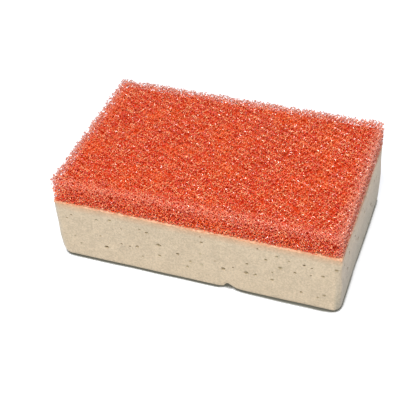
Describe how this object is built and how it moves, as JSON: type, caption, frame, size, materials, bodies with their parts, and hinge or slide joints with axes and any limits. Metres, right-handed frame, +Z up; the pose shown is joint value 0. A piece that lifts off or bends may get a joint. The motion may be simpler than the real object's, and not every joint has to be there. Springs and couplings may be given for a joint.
{
  "type": "grout sponge",
  "caption": "Rectangular wash sponge for tile grout: fine-pored foam block with a grooved underside and a coarse open-cell scouring pad glued on top.",
  "frame": {"origin": "middle of the footprint, on the surface the sponge rests on", "axes": "+X along the length, +Y from the front face to the back face, +Z up out of the scouring pad"},
  "size_m": [0.165, 0.105, 0.055],
  "materials": {
    "cream_foam": "fine-pored cream polyurethane foam, matt, with scattered larger pores",
    "dried_glue": "thin pale peach line of dried glue",
    "red_open_cell_foam": "coarse open-cell polyurethane foam of thin glossy red-orange struts"
  },
  "bodies": {
    "root": {"sponge_block": "cream_foam", "glue_line": "dried_glue", "scouring_pad": "red_open_cell_foam"}
  },
  "joints": []
}
